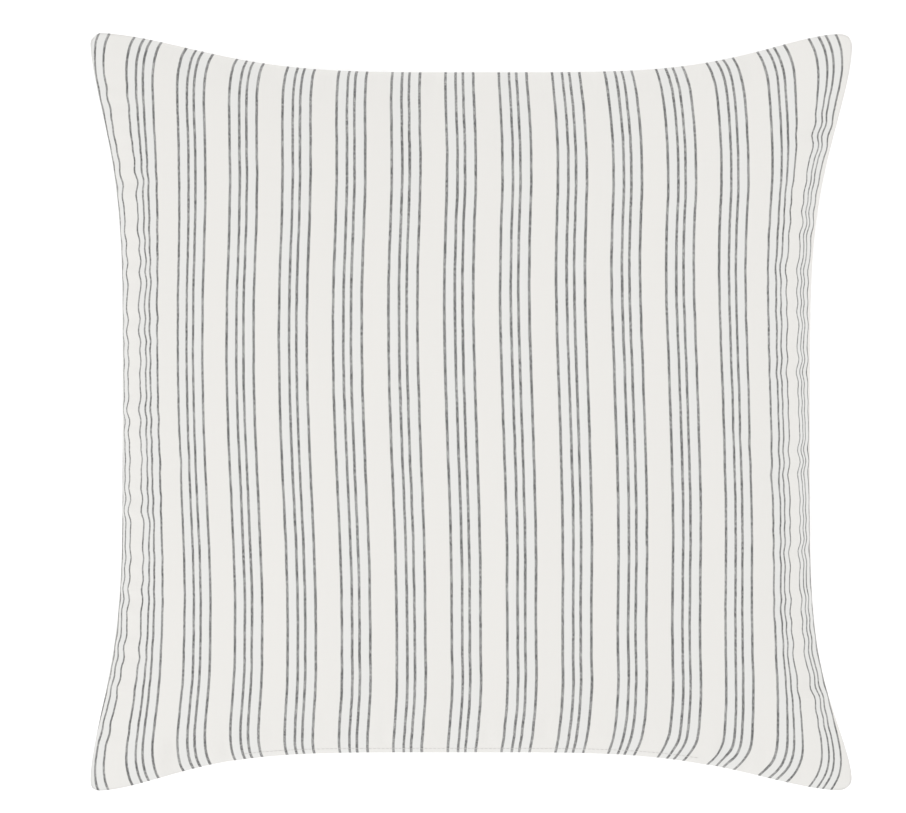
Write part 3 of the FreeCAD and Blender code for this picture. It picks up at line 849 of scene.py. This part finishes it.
def turned_in_rings(edge, waver, side, steps):
    """Rings of fabric turned in along the seam plane, and back along the tape at the zip."""
    rings = []
    share = zip_share(edge)
    for (inset, height), (at_tape, behind, lift) in zip(TURN_PROFILE, LIP_PROFILE):
        x, y = outline_place(*steps, inset)
        z = SEAM + side * height + waver
        lip_y = TAPE_FACE + behind if at_tape else edge[:, 1] + behind
        lip_z = SEAM + side * (LIP_HEIGHT + lift)
        y = y + (lip_y - y) * share
        z = z + (lip_z - z) * share
        rings.append(np.stack([x, y, z], axis=-1))
    return rings


def build_panel(name, points, rings, insets, pattern, side, material, cloth):
    """A panel of cloth: its crowned sheet, then the rings turned in round its border."""
    index = np.arange(points.shape[0] * points.shape[1]).reshape(points.shape[:2])
    border = border_numbers(index)
    pattern = pattern.reshape(-1, 2)
    outward = pattern[border] / np.linalg.norm(pattern[border], axis=1, keepdims=True)
    faces = [grid_faces(index)]
    all_points, all_pattern, last = [points.reshape(-1, 3)], [pattern], border
    for number, (ring, inset) in enumerate(zip(rings, insets)):
        numbers = index.size + number * len(border) + np.arange(len(border))
        faces.append(ring_faces(last, numbers))
        all_points.append(ring)
        all_pattern.append(pattern[border] + outward * inset)
        last = numbers
    faces = np.concatenate(faces)
    if side < 0:
        faces = faces[:, ::-1]
    piece = make_piece(name, np.concatenate(all_points), faces, np.concatenate(all_pattern),
                       material)
    return finish_mesh(piece, ("SOLIDIFY", {"thickness": cloth, "offset": -1.0}))


BACK_SHIFT = 0.011


def build_cover(side, name, material):
    """One panel of the cover."""
    points, x, y, u, v = cover_points(side)
    border = border_numbers(np.arange(u.size).reshape(u.shape))
    waver = SEAM_WAVER * seam_ripple(u, v).ravel()[border]
    rings = turned_in_rings(points.reshape(-1, 3)[border], waver, side,
                            (x.ravel()[border], y.ravel()[border]))
    half = sizes().cut / 2
    across = u * half - grain_shift(u, v) + (BACK_SHIFT if side < 0 else 0.0)
    pattern = np.stack([across, v * half], axis=-1)
    return build_panel(name, points, rings, [inset for inset, _ in TURN_PROFILE], pattern, side,
                       material, sizes().cloth)


# ---------------------------------------------------------------- the insert

INSERT_CELLS = 110
INSERT_EDGE = HALF_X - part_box("insert_front_panel")[1].x
INSERT_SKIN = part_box("insert_back_panel")[0].z
INSERT_TURN = ((0.0002, 0.0006), (0.0008, 0.0002), (0.0080, 0.0002))
FILL_EDGE = HALF_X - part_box("insert_filling")[1].x
FILL_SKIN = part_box("insert_filling")[0].z


def build_insert(side, name, material):
    """One panel of the insert: the same form further in, with its own turned-in edge."""
    points, x, y, u, v = folded_form(side, INSERT_CELLS, INSERT_EDGE, INSERT_SKIN)
    border = border_numbers(np.arange(u.size).reshape(u.shape))
    steps = (x.ravel()[border], y.ravel()[border])
    rings = [np.stack([*outline_place(*steps, INSERT_EDGE + inset),
                       np.full(len(border), SEAM + side * height)], axis=-1)
             for inset, height in INSERT_TURN]
    pattern = np.stack([u, v], axis=-1) * (sizes().cut / 2 - INSERT_EDGE)
    return build_panel(name, points, rings, [inset for inset, _ in INSERT_TURN], pattern, side,
                       material, sizes().insert_cloth)


def tufts(points):
    """How far the filling falls short of its skin: clumps from 0 to 1.

    Each layer is the absolute product of three sines of the place at its own scale.
    """
    total = 0
    for scale, share, turn in ((0.031, 0.6, 0.3), (0.017, 0.3, 1.1), (0.009, 0.1, 2.3)):
        across = points @ np.array([math.cos(turn), math.sin(turn), 0.4])
        along = points @ np.array([-math.sin(turn), math.cos(turn), 0.7])
        upward = points @ np.array([0.5, -0.3, 1.0])
        waves = np.sin(across * 2 * math.pi / scale) * np.sin(along * 2 * math.pi / scale + turn)
        total = total + share * np.abs(waves * np.cos(upward * math.pi / scale))
    return 1 - total


FILL_SINK = 0.0035
FILL_FADE = 0.02


def build_filling(material):
    """The loose filling: both crowned halves in one closed skin, sunk between its clumps."""
    front, back, faces = sewn_panels(INSERT_CELLS)
    points = np.zeros((int(back.max()) + 1, 3))
    for numbers, side in ((back, -1), (front, 1)):
        half, _, _, u, v = folded_form(side, INSERT_CELLS, FILL_EDGE, FILL_SKIN)
        fade = smooth(from_seam(u, v), 0.0, FILL_FADE)
        half -= surface_normals(half, side) * (tufts(half) * FILL_SINK * fade)[..., None]
        points[numbers] = half
    points[border_numbers(front), 2] = SEAM
    return make_piece("filling", points, faces, None, material)


# ---------------------------------------------------------------- stitches

STITCH = 0.0028
STITCH_GAP = 0.0005
THREAD = 0.00035
SEAM_ROW = 0.0018
ZIP_ROW = 0.0075


def evenly(path, pitch, closed=False):
    """Middles and directions of even steps along a path of points."""
    if closed:
        path = np.concatenate([path, path[:1]])
    lengths = np.linalg.norm(np.diff(path, axis=0), axis=1)
    total = np.concatenate([[0], np.cumsum(lengths)])
    count = max(2, int(total[-1] / pitch))
    marks = (np.arange(count) + 0.5) / count * total[-1]
    reach = pitch * 0.3
    places = [np.stack([np.interp(marks + shift, total, path[:, n]) for n in range(3)], axis=-1)
              for shift in (-reach, 0, reach)]
    along = places[2] - places[0]
    return places[1], along / np.linalg.norm(along, axis=1, keepdims=True)


# Rings of one stitch: place along it, width, and lift.
STITCH_RINGS = ((-0.5, 0.35, -0.45), (-0.38, 0.85, -0.1), (0.0, 1.0, 0.12),
                (0.38, 0.85, -0.1), (0.5, 0.35, -0.45))
STITCH_CORNERS = 6


def stitch_form():
    """One stitch of unit length and thickness: a six-sided bead, drawn in at its ends."""
    turn = np.arange(STITCH_CORNERS) * math.tau / STITCH_CORNERS
    points = [np.stack([np.full(STITCH_CORNERS, place), np.cos(turn) * wide / 2,
                        np.sin(turn) * wide / 2 + lift], axis=-1)
              for place, wide, lift in STITCH_RINGS]
    return np.concatenate(points), *tube_faces(len(STITCH_RINGS), STITCH_CORNERS)


def stitches(paths):
    """Points and faces of rows of stitches, each row its middles, directions and ups."""
    form, sides, ends = stitch_form()
    all_points, count = [], 0
    for places, along, up in paths:
        across = np.cross(up, along)
        across /= np.linalg.norm(across, axis=1, keepdims=True)
        up = np.cross(along, across)
        length = STITCH - STITCH_GAP
        all_points.append((places[:, None] + along[:, None] * (form[:, :1] * length)
                           + across[:, None] * (form[:, 1:2] * THREAD)
                           + up[:, None] * (form[:, 2:] * THREAD)).reshape(-1, 3))
        count += len(places)
    shift = (np.arange(count) * len(form))[:, None, None]
    quads = (sides[None] + shift).reshape(-1, 4).tolist()
    caps = [(end[None] + shift[..., 0]).tolist() for end in ends]
    return np.concatenate(all_points), quads + caps[0] + caps[1]


def seam_rows(side, inset, height, skip_zip):
    """The row of stitches that closes a seam, just inside it on the turned-in fabric."""
    around = np.linspace(-1, 1, 241)
    step_x, step_y = np.meshgrid(around, around, indexing="ij")
    border = border_numbers(np.arange(step_x.size).reshape(step_x.shape))
    x, y = outline_place(step_x.ravel()[border], step_y.ravel()[border], inset)
    ring = np.stack([x, y, np.full(len(border), SEAM + side * height)], axis=-1)
    places, along = evenly(ring, STITCH, closed=True)
    if skip_zip:
        open_seam = (np.abs(places[:, 0]) < SLOT_END) & (places[:, 1] < -0.5 * HALF_Y)
        places, along = places[~open_seam], along[~open_seam]
    return places, along, np.tile([0.0, 0.0, float(side)], (len(places), 1))


def zip_row(side):
    """The row of stitches through the cover that holds the zip's tape, on its good side."""
    table = surfaces[side]
    across = np.linspace(-1, 1, table.shape[0])
    row = np.full_like(across, -1 + 2 * ZIP_ROW / sizes().cut)
    path = sample(table, across, row)
    out = sample(surface_normals(table, side), across, row)
    keep = np.abs(path[:, 0]) < SLOT_FULL
    places, along = evenly(path[keep] + out[keep] * THREAD * 0.4, STITCH)
    normal = np.stack([np.interp(places[:, 0], path[:, 0], out[:, n]) for n in range(3)], axis=-1)
    return places, along, normal


# ---------------------------------------------------------------- zip

COIL_PITCH = 0.00125
COIL_WIRE = 0.00042
COIL_HEAD = 0.00012
TAPE_CELLS = (240, 24)


def tube(path, across, radius, corners):
    """A round tube carried along a path; the ring stands on the path's own cross direction."""
    along = np.gradient(path, axis=0)
    along /= np.linalg.norm(along, axis=1, keepdims=True)
    side = np.cross(along, across)
    side /= np.linalg.norm(side, axis=1, keepdims=True)
    up = np.cross(side, along)
    turn = np.arange(corners) * 2 * math.pi / corners
    points = (path[:, None] + radius * (side[:, None] * np.cos(turn)[:, None]
                                        + up[:, None] * np.sin(turn)[:, None]))
    sides, caps = tube_faces(len(path), corners)
    return points.reshape(-1, 3), sides.tolist() + [cap.tolist() for cap in caps]


COIL_STEPS = 12
COIL_CORNERS = 6


def build_coil(side, name, node, material):
    """One side of the chain: a flattened spiral whose heads meet the other's in the middle.

    y and z go round an ellipse while x moves one pitch a turn; the two sides are half a pitch
    apart.
    """
    low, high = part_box(node)
    outer = max(abs(low.z - SEAM), abs(high.z - SEAM))
    depth = (high.y - low.y - COIL_WIRE) / 2
    reach = (outer - COIL_HEAD - COIL_WIRE) / 2
    turns = int((high.x - low.x - COIL_WIRE) / COIL_PITCH)
    angle = np.linspace(0, 2 * math.pi * turns, turns * COIL_STEPS + 1)
    x = low.x + COIL_WIRE / 2 + (angle / (2 * math.pi) + 0.25 * (1 + side)) * COIL_PITCH
    y = (low.y + high.y) / 2 + depth * np.cos(angle)
    z = SEAM + side * (COIL_HEAD + COIL_WIRE / 2 + reach * (1 + np.sin(angle)))
    path = np.stack([np.minimum(x, high.x - COIL_WIRE / 2), y, z], axis=-1)
    points, faces = tube(path, np.array([1.0, 0.0, 0.0]), COIL_WIRE / 2, COIL_CORNERS)
    coil = make_piece(name, points, faces, None, material)
    return turn_outwards(coil)


FLAT_TAPE = 0.0046
CHAIN_SLIT = 0.0005
TAPE_CLOTH = 0.0005
TAPE_BEHIND = 0.0016


def build_tape(side, name, node, material):
    """One tape: a flat strip under the chain that leans back to its sewn edge."""
    low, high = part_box(node)
    x = np.linspace(low.x, high.x, TAPE_CELLS[0] + 1)
    share = np.linspace(0, 1, TAPE_CELLS[1] + 1)
    near, far = CHAIN_SLIT, max(abs(low.z - SEAM), abs(high.z - SEAM))
    rise = near + (far - near) * share
    lean = np.clip((rise - FLAT_TAPE) / (far - FLAT_TAPE), 0, 1)
    wall = sample(surfaces[side], *np.meshgrid(x / (sizes().cut / 2), [-1 + 2 * far / sizes().cut],
                                               indexing="ij"))[:, 0, 1]
    back = np.minimum(np.maximum(wall + TAPE_BEHIND, TAPE_FACE), high.y)
    y = TAPE_FACE + TAPE_CLOTH / 2 + (back - TAPE_FACE)[:, None] * lean ** 1.3
    z = SEAM + side * np.broadcast_to(rise, y.shape)
    points = np.stack([np.broadcast_to(x[:, None], y.shape), y, z], axis=-1)
    pattern = np.stack([points[..., 0], np.broadcast_to(rise, y.shape)], axis=-1)
    faces = grid_faces(np.arange(y.size).reshape(y.shape))
    tape = make_piece(name, points, faces if side > 0 else faces[:, ::-1], pattern, material)
    return finish_mesh(tape, ("SOLIDIFY", {"thickness": TAPE_CLOTH, "offset": 0.0}))


def turn_outwards(piece):
    """Makes a closed mesh's faces point outwards."""
    shape = bmesh.new()
    shape.from_mesh(piece.data)
    bmesh.ops.recalc_face_normals(shape, faces=shape.faces)
    shape.to_mesh(piece.data)
    shape.free()
    return piece


MERGE = 1e-6


def hard_piece(name, node, bevel, material):
    """A hard piece with its edges eased: the node's own shape, merged and bevelled."""
    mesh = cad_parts[node].data.copy()
    mesh.name = name
    shape = bmesh.new()
    shape.from_mesh(mesh)
    bmesh.ops.remove_doubles(shape, verts=shape.verts, dist=MERGE)
    bmesh.ops.dissolve_limit(shape, angle_limit=math.radians(1), verts=shape.verts,
                             edges=shape.edges)
    shape.to_mesh(mesh)
    shape.free()
    mesh.materials.clear()
    mesh.materials.append(material)
    mesh.shade_smooth()
    piece = bpy.data.objects.new(name, mesh)
    bpy.context.scene.collection.objects.link(piece)
    return finish_mesh(piece, ("BEVEL", {"width": bevel, "segments": 3, "limit_method": "ANGLE",
                                         "harden_normals": True}))


LABEL_BOW = 0.0006
LABEL_CLOTH = 0.0003


def build_label(name, node, axis, material):
    """A blank ribbon: its sewn end is the outer one, and it bows a little as it leans up."""
    low, high = (np.array(corner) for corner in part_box(node))
    other = 1 - axis
    outer, inner = sorted((low[axis], high[axis]), key=abs, reverse=True)
    along = np.linspace(0, 1, 25)
    wide = np.linspace(low[other], high[other], 21)
    reach, place = np.meshgrid(along, wide, indexing="ij")
    bow = np.sin(math.pi * reach) * LABEL_BOW
    tall = high[2] - low[2]
    run = np.hypot(inner - outer, tall)
    points = np.empty((*reach.shape, 3))
    points[..., axis] = outer + (inner - outer) * reach + bow * tall / run * np.sign(outer)
    points[..., other] = place
    points[..., 2] = low[2] + LABEL_CLOTH + (tall - 2 * LABEL_CLOTH) * reach
    points[..., 2] += bow * abs(inner - outer) / run
    pattern = np.stack([place - wide.mean(), reach * run], axis=-1)
    faces = grid_faces(np.arange(reach.size).reshape(reach.shape))
    label = make_piece(name, points, faces, pattern, material)
    return finish_mesh(label, ("SOLIDIFY", {"thickness": LABEL_CLOTH, "offset": 0.0}))


# ---------------------------------------------------------------- operators


COVER_ROW_HEIGHT = 0.00100
INSERT_ROW_HEIGHT = 0.00075
METAL_EDGE = 0.00014


def hang(piece, body, slot, *nodes):
    """Hangs a finished piece on its body and hides the nodes that it stands for. Its slot is not
    used.
    """
    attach(piece, body)
    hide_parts(*nodes)
    return piece


class PILLOW_OT_cover(bpy.types.Operator):
    """Makes the cover's two striped panels"""

    bl_idname = "pillow.cover"
    bl_label = "Cover panels"

    def execute(self, context):
        canvas = canvas_finish()
        for side, name, node in ((1, "cover_front", "cover_front_panel"),
                                 (-1, "cover_back", "cover_back_panel")):
            panel = hang(build_cover(side, name, canvas), "cover", "striped_canvas", node)
        return {"FINISHED"}


class PILLOW_OT_cover_seams(bpy.types.Operator):
    """Sews the cover's seam and its zip with rows of stitches"""

    bl_idname = "pillow.cover_seams"
    bl_label = "Cover stitches"

    def execute(self, context):
        finish = thread_finish("cover_thread", tuple(colours().cover_thread))
        for side, name, node in ((1, "cover_needle_stitches", "cover_needle_thread"),
                                 (-1, "cover_bobbin_stitches", "cover_bobbin_thread")):
            rows = [seam_rows(side, SEAM_ROW, COVER_ROW_HEIGHT, True), zip_row(side)]
            piece = make_piece(name, *stitches(rows), None, finish)
            hang(piece, "cover", "cover_thread", node)
        return {"FINISHED"}


class PILLOW_OT_insert(bpy.types.Operator):
    """Makes the insert's two cotton panels and its seam"""

    bl_idname = "pillow.insert"
    bl_label = "Insert"

    def execute(self, context):
        cotton = insert_finish()
        thread = thread_finish("insert_thread", tuple(colours().insert_thread))
        for side, place, row in ((1, "front", "needle"), (-1, "back", "bobbin")):
            node = "insert_%s_panel" % place
            panel = build_insert(side, "insert_" + place, cotton)
            hang(panel, "cover", "insert_cotton", node)
            rows = [seam_rows(side, INSERT_EDGE + SEAM_ROW, INSERT_ROW_HEIGHT, False)]
            sewn = make_piece("insert_%s_stitches" % row, *stitches(rows), None, thread)
            hang(sewn, "cover", "insert_thread", "insert_%s_thread" % row)
        return {"FINISHED"}


class PILLOW_OT_filling(bpy.types.Operator):
    """Makes the fibre filling"""

    bl_idname = "pillow.filling"
    bl_label = "Filling"

    def execute(self, context):
        filling = hang(build_filling(filling_finish()), "cover", "fibre_fill", "insert_filling")
        return {"FINISHED"}


class PILLOW_OT_labels(bpy.types.Operator):
    """Makes the two blank sewn-in labels"""

    bl_idname = "pillow.labels"
    bl_label = "Labels"

    def execute(self, context):
        ribbon = label_finish()
        for name, node, axis in (("care_label", "cover_care_label", 0),
                                 ("insert_label", "insert_blank_label", 1)):
            label = hang(build_label(name, node, axis, ribbon), "cover", "label_ribbon", node)
        return {"FINISHED"}


class PILLOW_OT_zip(bpy.types.Operator):
    """Makes the zip: tapes, coils, stops, slider and pull tab"""

    bl_idname = "pillow.zip"
    bl_label = "Zip"

    def execute(self, context):
        tape_look, coil_look, metal = tape_finish(), coil_finish(), metal_finish()
        for side, place in ((1, "front"), (-1, "back")):
            node = "zip_tape_" + place
            tape = hang(build_tape(side, "tape_" + place, node, tape_look), "cover",
                          "zip_tape", node)
            node = "zip_coil_" + place
            hang(build_coil(side, "coil_" + place, node, coil_look), "cover", "zip_coil", node)
        for name, node, body in (("top_stops", "zip_top_stops", "cover"),
                                 ("bottom_stop", "zip_bottom_stop", "cover"),
                                 ("slider_body", "zip_slider_body", "zip_slider"),
                                 ("pull_tab", "zip_pull_tab", "zip_pull")):
            hang(hard_piece(name, node, METAL_EDGE, metal), body, "zip_metal", node)
        return {"FINISHED"}


FLOOR_REACH = 6.0
FLOOR_GLOW = 0.22
SKY_STRENGTH = 0.88
SOFT_LIGHTS = (("key", (-1.6, -1.4, 2.6), 2.2, 17.5), ("fill", (1.8, 1.6, 2.4), 2.4, 13.5))
CAMERA_HEIGHT = 2.200
CAMERA_X = -0.0122
CAMERA_Y = 0.0036
CAMERA_LENS = 133.2


class PILLOW_OT_stage(bpy.types.Operator):
    """Makes the floor, the soft light and the camera"""

    bl_idname = "pillow.stage"
    bl_label = "Stage"

    def execute(self, context):
        scene = context.scene
        look = Finish("pale_floor")
        look.set(Base_Color=tuple(colours().floor), Roughness=0.9)
        look.set(Emission_Color=(1.0, 1.0, 1.0), Emission_Strength=FLOOR_GLOW)
        corners = np.array([[-1, -1, 0], [1, -1, 0], [1, 1, 0], [-1, 1, 0]]) * FLOOR_REACH
        floor = make_piece("floor", corners, np.array([[0, 1, 2, 3]]), None, look.material)
        world = bpy.data.worlds.new("studio")
        world.use_nodes = True
        world.node_tree.nodes["Background"].inputs["Color"].default_value = (1, 1, 1, 1)
        world.node_tree.nodes["Background"].inputs["Strength"].default_value = SKY_STRENGTH
        scene.world = world
        for name, place, wide, power in SOFT_LIGHTS:
            light = bpy.data.lights.new(name, "AREA")
            light.shape = "DISK"
            light.size = wide
            light.energy = power
            lamp = bpy.data.objects.new(name, light)
            scene.collection.objects.link(lamp)
            lamp.location = place
            lamp.rotation_euler = (-Vector(place)).to_track_quat("-Z", "Y").to_euler()
        camera = bpy.data.cameras.new("camera")
        camera.lens = CAMERA_LENS
        camera.sensor_width = 36.0
        camera.clip_end = 50.0
        eye = bpy.data.objects.new("camera", camera)
        scene.collection.objects.link(eye)
        eye.location = (CAMERA_X, CAMERA_Y, SEAM + CAMERA_HEIGHT)
        scene.camera = eye
        scene.view_settings.view_transform = "Standard"
        return {"FINISHED"}


class PILLOW_PT_panel(bpy.types.Panel):
    """Lists the steps that build the pillow"""

    bl_label = "Pillow"
    bl_idname = "PILLOW_PT_panel"
    bl_space_type = "VIEW_3D"
    bl_region_type = "UI"
    bl_category = "Pillow"

    def draw(self, context):
        for step in STEPS:
            self.layout.operator(step.bl_idname)
        for group in (context.scene.pillow_sizes, context.scene.pillow_colours):
            for name in group.__annotations__:
                self.layout.prop(group, name)


STEPS = (PILLOW_OT_cover, PILLOW_OT_cover_seams, PILLOW_OT_insert, PILLOW_OT_filling,
         PILLOW_OT_labels, PILLOW_OT_zip, PILLOW_OT_stage)
CLASSES = (PillowSizes, PillowColours, *STEPS, PILLOW_PT_panel)


def register():
    """Registers the classes and hangs the sizes and colours on the scene."""
    for kind in CLASSES:
        bpy.utils.register_class(kind)
    bpy.types.Scene.pillow_sizes = bpy.props.PointerProperty(type=PillowSizes)
    bpy.types.Scene.pillow_colours = bpy.props.PointerProperty(type=PillowColours)


def unregister():
    """Takes away what register added."""
    del bpy.types.Scene.pillow_colours
    del bpy.types.Scene.pillow_sizes
    for kind in reversed(CLASSES):
        bpy.utils.unregister_class(kind)


def main():
    """Builds the pillow."""
    register()
    for step in STEPS:
        area, name = step.bl_idname.split(".")
        getattr(getattr(bpy.ops, area), name)()


if __name__ == "__main__":
    main()
